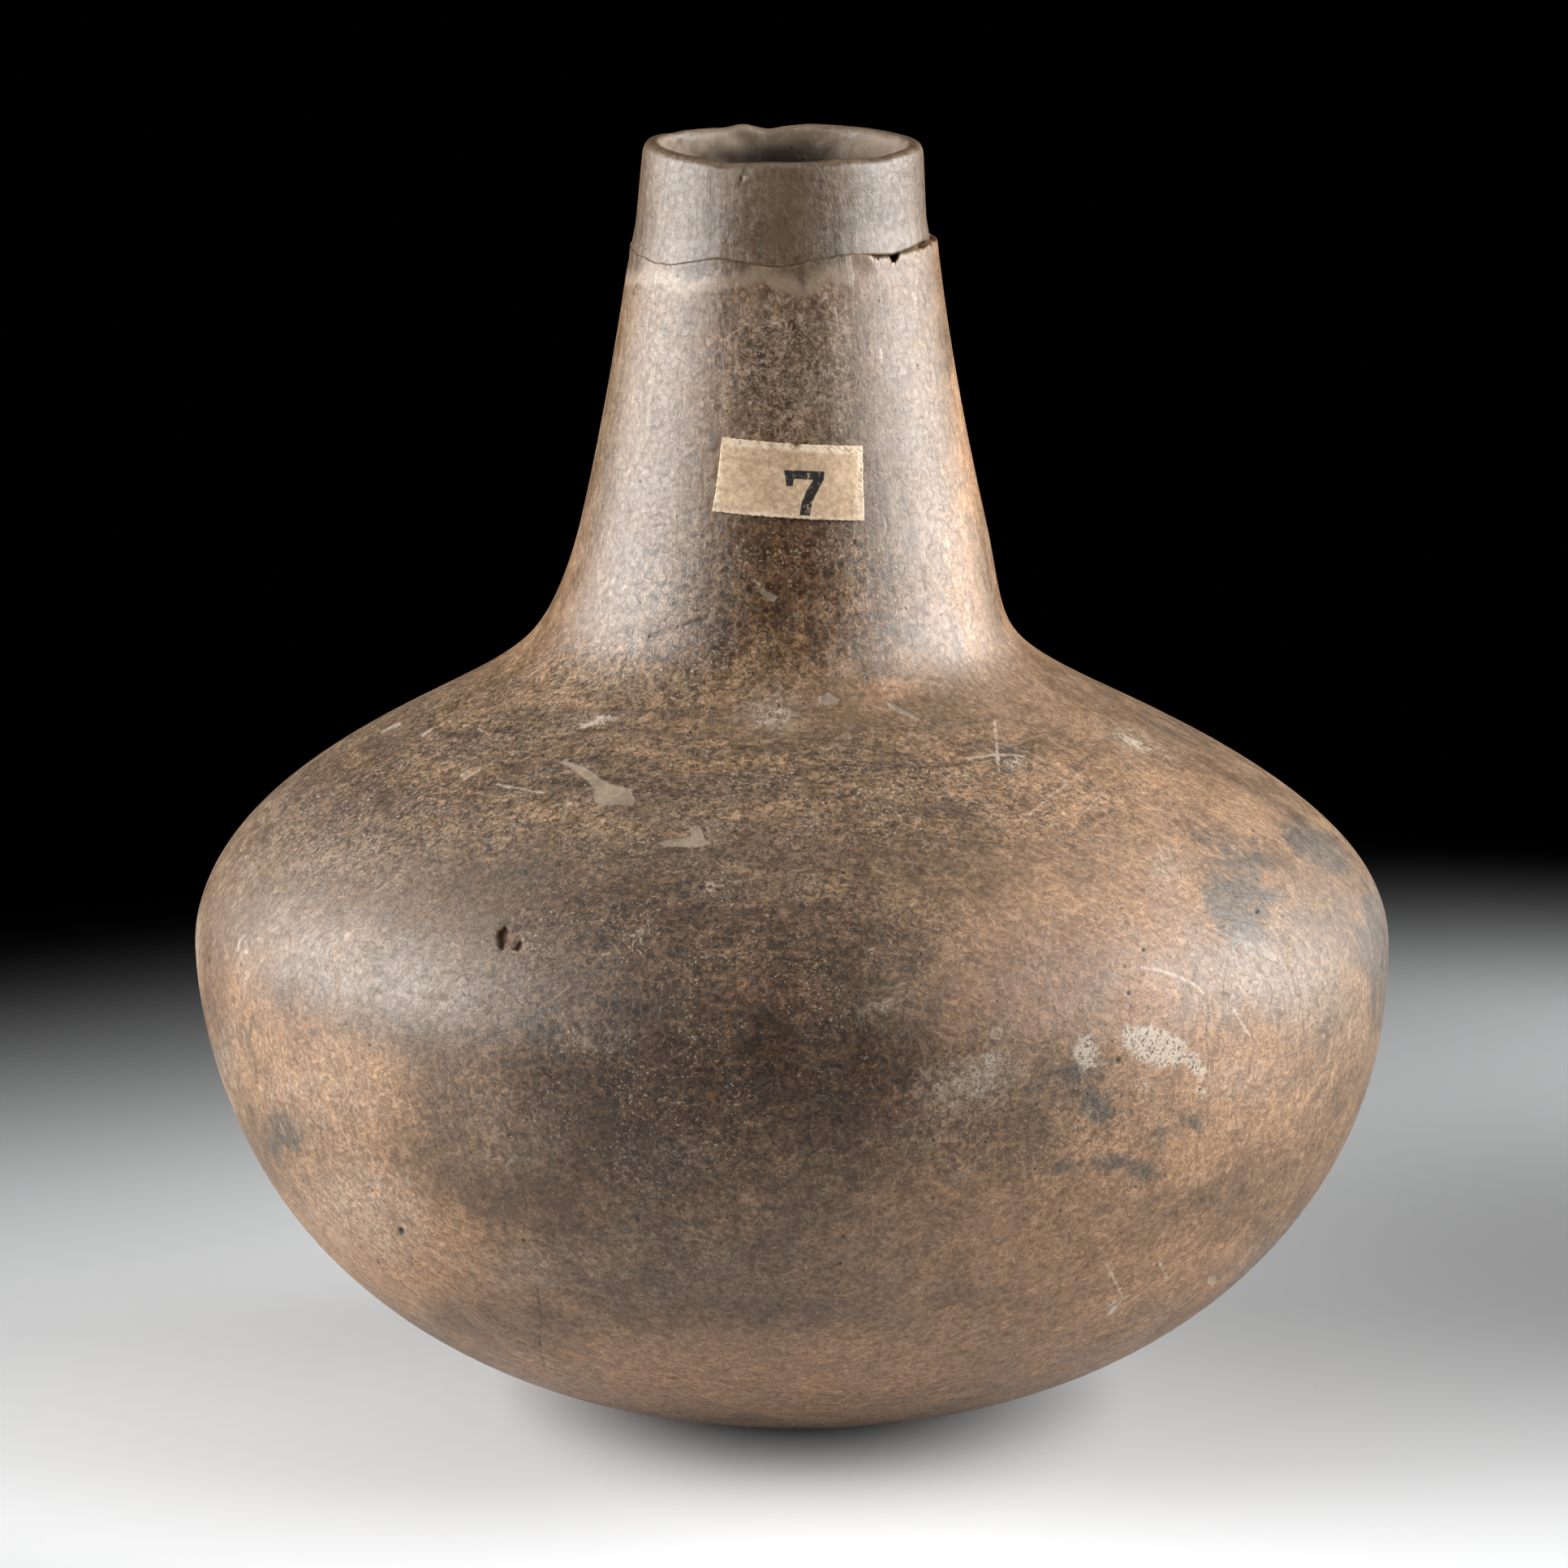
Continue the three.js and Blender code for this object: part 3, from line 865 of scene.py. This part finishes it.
def makeBodyClay():
    clay, tree, shader, place = newMaterial("burnishedClay")
    tones = withAlpha(bodyClay["tones"])
    neck, gritty, streaky = painted(tree, "neck"), painted(tree, "gritty"), painted(tree, "streaky")
    stroke = useGroup(tree, burnishStrokes, {"Vector": place, **bodyClay["strokes"]})
    streak = mixed(tree, neck, stroke["Round"], stroke["Up"])
    grains = useGroup(tree, clayGrain, {
        "Vector": place, "Scale": bodyClay["grit"], "Strength": between(tree, gritty, 0, 1, 0.5, 1.3),
    })
    aside = shifted(tree, place, (0.7, 0.4, 0.2))
    broad = grainNoise(tree, place, 70, 5, 0.75, 0.6)
    patchy = grainNoise(tree, aside, 150, 5, 0.8, 0.5)
    fine = grainNoise(tree, aside, 620, 4, 0.8, 0.3)
    noises = {"broad": broad, "patchy": patchy, "fine": fine, "drift": mixed(tree, 0.55, patchy, streak)}
    masks = {}

    def lay(colour, patches):
        for name, noise, push, soft, share, tone in patches:
            masks[name] = brokenPatch(tree, painted(tree, name), noises[noise], push, soft, share)
            colour = blendColour(tree, masks[name], colour, tones[tone])
        return colour

    colour = blendColour(tree, between(tree, broad, 0.3, 0.7), tones["brown"], tones["tan"])
    colour = lay(colour, bodyClay["stains"])
    line = times(tree, between(tree, streak, 0.55, 0.7), between(tree, broad, 0.45, 0.6))
    colour = blendColour(tree, times(tree, line, 0.3), colour, tones["ochre"])
    # whitish haze, partly painted sheen over the lamps' highlights
    colour = lay(colour, bodyClay["filmAndSheen"])

    # smears and long strokes round the shoulder
    colour = blendColour(tree, times(tree, streaky, 0.55), colour, tones["grime"])
    line = times(tree, between(tree, stroke["Long"], 0.52, 0.6), streaky)
    colour = blendColour(tree, times(tree, line, 0.65), colour, tones["ochre"])
    line = times(tree, between(tree, stroke["Long"], 0.39, 0.47, 1, 0), streaky)
    colour = blendColour(tree, times(tree, line, 0.7), colour, tones["umber"])

    # grit, strokes of the burnishing stone, pale grains and hair scratches
    lift = between(tree, neck, 0, 1, 1, bodyClay["neckLift"])
    colour = shaded(tree, colour, times(tree, grains["Brightness"], lift))
    tint = blendColour(tree, between(tree, grains["Height"], 0.38, 0.6), tones["gritTint"], tones["clayTint"])
    colour = shaded(tree, colour, tint)
    stroked = shaded(tree, colour, between(tree, streak, 0.3, 0.7, 0.54, 1.44))
    colour = blendColour(tree, between(tree, gritty, 0, 1, 0.4, 0.85), colour, stroked)
    speck = times(tree, grains["Pale"], between(tree, gritty, 0, 1, 0.15, 0.75))
    colour = blendColour(tree, speck, colour, tones["pale"])
    hair = useGroup(tree, hairScratches, {"Vector": place})
    colour = shaded(tree, colour, between(tree, hair["Weave"], 0, 1, 0.84, 1.22))
    colour = shaded(tree, colour, between(tree, patchy, 0.3, 0.7, 0.84, 1.16))
    colour = blendColour(tree, times(tree, hair["Mask"], 0.3), colour, tones["pale"])

    # deposits, flakes, filler and broken places
    pepper = between(tree, grainNoise(tree, place, 2000, 2, 0.7), 0.4, 0.48, 0.9, 0)
    tones["deposit"] = blendColour(tree, pepper, tones["chalk"], tones["umber"])
    chipped = shaded(tree, tones["flake"], between(tree, patchy, 0.35, 0.65, 0.68, 1.16))
    tones["chipped"] = shaded(tree, chipped, between(tree, grains["Height"], 0.35, 0.65, 0.8, 1.15))
    tones["filler"] = greyClayColour(tree, place, stroke["Up"], grains["Brightness"])
    tones["rubble"] = blendColour(tree, between(tree, fine, 0.36, 0.6), tones["umber"], tones["rust"])
    tones["hollow"] = blendColour(tree, between(tree, patchy, 0.4, 0.6), tones["umber"], tones["brown"])
    colour = lay(colour, bodyClay["marks"])
    colour = blendColour(tree, times(tree, grains["Pits"], 0.85), colour, tones["shadeAndSoot"])
    colour = blendColour(tree, times(tree, painted(tree, "inside"), 0.8), colour, tones["dark"])
    tree.links.new(colour, shader.inputs["Base Color"])

    gloss = plus(tree, mixed(tree, neck, *bodyClay["roughness"]), between(tree, patchy, 0.3, 0.7, -0.1, 0.12))
    gloss = plus(tree, gloss, between(tree, grains["Height"], 0.34, 0.5, 0.22, 0))
    dull = calc(tree, "MAXIMUM", masks["flake"], painted(tree, "spall"))
    tree.links.new(plus(tree, gloss, times(tree, dull, 0.35)), shader.inputs["Roughness"])

    height = plus(tree, times(tree, streak, 0.9), times(tree, grains["Height"], 0.9))
    height = plus(tree, height, times(tree, broad, 0.4))
    height = calc(tree, "SUBTRACT", height, times(tree, grains["Pits"], 0.6))
    addRelief(tree, shader, height, bodyClay["relief"])
    return clay


# the ring on top of the neck

ring = {
    "lipWave": 0.2 * mm,
    # along the lip, 1 for the back and -1 for the front, where from left to right, rise and width in mm
    "waves": [
        (1, -6.5, 0.5, 2.2), (1, -2.2, -0.3, 1.6), (1, 5, 0.25, 4), (1, -13, 0.15, 3), (-1, 14.5, -0.4, 3),
        (-1, -9, -0.25, 3.5), (-1, 3, -0.2, 4),
    ],
    "unevenness": 0.16 * mm,
    "chip": (918, 219, 9, 4),
    # painted shade: the inside of the mouth is darker where it lies deep
    "deep": [(962, 194, 74, 17, 0.85), (900, 196, 40, 10, 0.4)],  # darker inside the mouth
    "tones": {
        "shade": (0.097, 0.065, 0.04), "clay": (0.134, 0.091, 0.057), "lining": (0.22, 0.16, 0.108),
        "shadeAndSoot": (0.02, 0.014, 0.01), "pale": (0.4, 0.32, 0.235),
    },
    "strokes": {"Round": 300, "Up": 14},
    "relief": 0.28 * mm,
}


def makeRing():
    piece = copyNode("neck_ring", "neck_ring_clay")
    creaseEdges(piece, 60)
    subdivideAll(piece, 3)
    points, normals = readPoints(piece)
    low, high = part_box("neck_ring")
    seen = seenInPhoto(points)
    front = smooth(facing(points, normals), 0, 0.15)
    x, y = fromAxis(points)
    radius = np.hypot(x, y)
    inward = -(x * normals[:, 0] + y * normals[:, 1]) / radius
    wave = ring["lipWave"] * (-0.5 + 0.8 * lumps(points, 6 * mm, 21, 2))
    for side, at, rise, wide in ring["waves"]:
        wave += rise * mm * np.exp(-(((x / mm) - at) / wide) ** 2) * smooth(side * y, 0, 10 * mm)
    points[:, 2] += smooth(points[:, 2], high.z - 5 * mm, high.z) * wave
    points[:, 2] = np.minimum(points[:, 2], high.z - 0.02 * mm)
    chipX = ring["chip"][0]
    chip = (1 - smooth(inEllipse(seen, *ring["chip"]), 0.3, 1)) * front
    sink = ring["unevenness"] * (0.6 + 0.9 * lumps(points * (1, 1, 0.4), 5 * mm, 22, 3)) * (inward < 0.3)
    sink += 0.45 * mm * lumps(points, 3.5 * mm, 23, 2) * smooth(inward, 0.4, 0.9)
    sink += np.where(seen[:, 0] < chipX - 2, 0.35 * mm, -0.12 * mm) * chip
    sink *= nearJoint(points, frame["nodes"]["neck_ring"], -0.5 * mm, -4 * mm)
    points = points - normals * np.maximum(sink, -0.25 * mm)[:, None]
    points[:, 0] = np.clip(points[:, 0], low.x + 0.01 * mm, high.x - 0.01 * mm)
    writePoints(piece, points)
    writeMask(piece, "inside", smooth(inward, 0.2, 0.9))
    writeMask(piece, "deep", spotMask(seen, ring["deep"]) * (inward > 0.1))
    writeMask(piece, "chip", chip * (seen[:, 0] >= chipX))
    return piece


def makeRingClay():
    clay, tree, shader, place = newMaterial("greyClay")
    tones = withAlpha(ring["tones"])
    stroke = useGroup(tree, burnishStrokes, {"Vector": place, **ring["strokes"]})
    grains = useGroup(tree, clayGrain, {"Vector": place, "Scale": 800, "Strength": 0.25})
    lumpy = grainNoise(tree, place, 150, 5, 0.7, 0.5)
    inner = times(tree, painted(tree, "inside"), between(tree, lumpy, 0.35, 0.6, 0.3, 1))
    deep = painted(tree, "deep")
    colour = greyClayColour(tree, place, stroke["Up"], grains["Brightness"])
    # the mouth's lining, painted shade deep in the mouth, pale grains, the pale chip and dark pits
    for mask, tone in (
        (inner, "lining"), (deep, "shadeAndSoot"), (times(tree, grains["Pale"], 0.25), "pale"),
        (times(tree, painted(tree, "chip"), 0.6), "pale"), (times(tree, grains["Pits"], 0.7), "shadeAndSoot"),
    ):
        colour = blendColour(tree, mask, colour, tones[tone])
    tree.links.new(colour, shader.inputs["Base Color"])
    gloss = plus(tree, between(tree, lumpy, 0.3, 0.7, 0.23, 0.33), times(tree, inner, 0.3))
    tree.links.new(plus(tree, gloss, times(tree, deep, 0.3)), shader.inputs["Roughness"])
    height = plus(tree, times(tree, stroke["Up"], 0.8), times(tree, grains["Height"], 0.8))
    addRelief(tree, shader, plus(tree, height, times(tree, lumpy, 0.9)), ring["relief"])
    return clay


# the paper label, with a plain numeral

label = {
    "corners": [(884, 542), (1064, 554), (1059, 646), (878, 634)],
    "ragged": 0.27 * mm,
    "perforation": 0.95 * mm,
    "notch": (981, 546),
    "numeral": [
        [(966, 579), (1016, 581), (1015, 592), (978, 590), (977, 599), (969, 599)],
        [(1003, 590), (1015, 591), (1008, 604), (1001, 618), (998, 636), (985, 635), (988, 618), (994, 604)],
    ],
    "tones": {
        "cream": (0.62, 0.45, 0.295), "tan": (0.48, 0.325, 0.198), "stain": (0.33, 0.185, 0.095),
        "fray": (0.76, 0.62, 0.46), "ink": (0.008, 0.007, 0.006),
    },
    "roughness": 0.85,
    "relief": 0.1 * mm,
}


def makeLabel():
    piece = copyNode("paper_label", "number_label")
    creaseEdges(piece, 60)
    subdivideAll(piece, 2)
    subdivideWhere(piece, lambda points, normals: normals[:, 1] < -0.5, cuts=3, smoothness=0)
    points, normals = readPoints(piece)
    seen = seenInPhoto(points)
    inset = -farFromShape(seen, label["corners"])
    edge = 1 - smooth(inset, 1, 8)
    wave = 0.5 + 0.5 * np.sin((seen[:, 0] - seen[:, 1]) / 7.9 / (label["perforation"] / mm) * 2 * math.pi)
    ragged = label["ragged"] * (0.5 * wave + 0.9 * (0.5 + 0.5 * lumps(points, 0.7 * mm, 31, 3)))
    notch = 0.35 * mm * (1 - smooth(np.hypot(*(seen - label["notch"]).T), 2, 6))
    inward = points.mean(0) - points
    inward[:, 0] *= 0.3
    inward[:, 1] = 0
    inward /= np.maximum(np.linalg.norm(inward, axis=1), 1e-9)[:, None]
    points += inward * ((ragged + notch) * edge)[:, None]
    cockle = 0.08 * mm * np.minimum(lumps(points, 4 * mm, 32, 2), 0) * (normals[:, 1] < -0.5)
    points += normals * cockle[:, None]
    writePoints(piece, points)
    ink = np.zeros(len(points))
    for stroke in label["numeral"]:
        ink = np.maximum(ink, outlineMask(farFromShape(seen, stroke), 2))
    writeMask(piece, "ink", ink)
    writeMask(piece, "edge", 1 - smooth(inset, 2, 11))
    return piece


def makePaper():
    paper, tree, shader, place = newMaterial("agedPaper")
    tones = withAlpha(label["tones"])
    mottle = grainNoise(tree, place, 130, 7, 0.8, 0.6)
    fibre = grainNoise(tree, place, 900, 4, 0.85, 0.3)
    blots = between(tree, grainNoise(tree, place, 330, 5, 0.75, 0.4), 0.56, 0.68)
    colour = blendColour(tree, between(tree, mottle, 0.36, 0.6), tones["tan"], tones["cream"])
    colour = blendColour(tree, times(tree, blots, 0.6), colour, tones["stain"])
    colour = shaded(tree, colour, between(tree, fibre, 0.3, 0.7, 0.68, 1.3))
    rim = times(tree, painted(tree, "edge"), between(tree, fibre, 0.36, 0.6))
    colour = blendColour(tree, rim, colour, tones["fray"])
    worn = between(tree, fibre, 0.56, 0.62, 0, 0.55)
    printed = brokenPatch(tree, painted(tree, "ink"), fibre, 0.3, 0.14)
    printed = times(tree, printed, calc(tree, "SUBTRACT", 1, worn))
    tree.links.new(blendColour(tree, printed, colour, tones["ink"]), shader.inputs["Base Color"])
    shader.inputs["Roughness"].default_value = label["roughness"]
    addRelief(tree, shader, fibre, label["relief"])
    return paper


def finishPiece(piece, node, material):
    piece.data.materials.clear()
    piece.data.materials.append(material)
    takeUp(piece)
    bpy.ops.object.shade_smooth()
    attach(piece, "root")
    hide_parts(node)
    print("made", piece.name, sum(len(p.vertices) - 2 for p in piece.data.polygons), "triangles")


finishPiece(makeBody(), "bottle_body", makeBodyClay())
finishPiece(makeRing(), "neck_ring", makeRingClay())
finishPiece(makeLabel(), "paper_label", makePaper())


# studio

studio = {
    # painted light on the floor: a pool of light round the bottle that falls off to the back left, and a
    # painted shadow of the bottle, cast by the left lamp, to its right
    "floorPale": 0.62, "floorLightFade": (-0.02, 0.45), "floorTilt": 0.5,  # it darkens to the back left
    "lightPoolAt": (0.02, 0.09, 0), "lightPoolEdge": (0.21, 0.36),  # and is dark away from the bottle
    "shadeAt": (0.16, 0.09, 0), "shade": 0.3, "shadeReach": 0.25,
    "left": {"at": (-0.75, -0.04, 0.28), "size": (0.85, 0.66), "power": 19.5},
    "right": {"at": (0.75, 0.02, 0.32), "size": (0.95, 0.74), "power": 24.2},
    "top": {"at": (0, 0.1, 1.4), "size": (0.8, 0.8), "power": 2},
}


def farFrom(tree, place, at):
    return addNode(tree, "ShaderNodeVectorMath", {0: place, 1: at}, operation="DISTANCE").outputs["Value"]


def makeFloor():
    deselectAll()
    bpy.ops.mesh.primitive_plane_add(size=6, location=(0, 0, 0))
    floor = bpy.context.active_object
    floor.name = "floor"
    material, tree, shader, place = newMaterial("paleFloor")
    parts = split(tree, place)
    # the floor's colour holds the painted pool of light and falloff
    behind = calc(tree, "SUBTRACT", parts["Y"], times(tree, parts["X"], studio["floorTilt"]))
    near, back = studio["floorLightFade"]
    lightPool = calc(tree, "POWER", between(tree, behind, near, back, 1, 0), 1.5)
    near, back = studio["lightPoolEdge"]
    lightPool = times(tree, lightPool, between(tree, farFrom(tree, place, studio["lightPoolAt"]), near, back, 1, 0))
    # painted shadow of the bottle on the floor
    far = farFrom(tree, place, studio["shadeAt"])
    shade = between(tree, far, 0.02, studio["shadeReach"], studio["shade"], 1)
    pale = studio["floorPale"]
    colour = blendColour(tree, times(tree, lightPool, shade), (0, 0, 0, 1), (pale * 0.98, pale * 0.99, pale, 1))
    tree.links.new(colour, shader.inputs["Base Color"])
    shader.inputs["Roughness"].default_value = 0.9
    shader.inputs["Specular IOR Level"].default_value = 0
    floor.data.materials.append(material)


def addSoftbox(name):
    box = studio[name]
    bpy.ops.object.light_add(type="AREA", location=box["at"])
    light = bpy.context.active_object
    light.name = name + "Softbox"
    light.data.shape = "RECTANGLE"
    light.data.size, light.data.size_y = box["size"]
    light.data.energy = box["power"]
    aim = Vector((0, 0, 0.1)) - Vector(box["at"])
    light.rotation_euler = aim.to_track_quat("-Z", "Y").to_euler()


def addCamera():
    eye, aim = Vector(photoView["eye"]) * mm, Vector(photoView["aim"]) * mm
    bpy.ops.object.camera_add(location=eye)
    camera = bpy.context.active_object
    camera.rotation_euler = (aim - eye).to_track_quat("-Z", "Y").to_euler()
    camera.data.lens, camera.data.sensor_width = photoView["lens"], photoView["sensor"]
    bpy.context.scene.camera = camera


makeFloor()
for name in ("left", "right", "top"):
    addSoftbox(name)
addCamera()
world = bpy.data.worlds.new("studio")
world.use_nodes = True
world.node_tree.nodes["Background"].inputs["Color"].default_value = (0.02, 0.02, 0.02, 1)
bpy.context.scene.world = world
bpy.context.scene.view_settings.view_transform = "Standard"
print("made the studio")
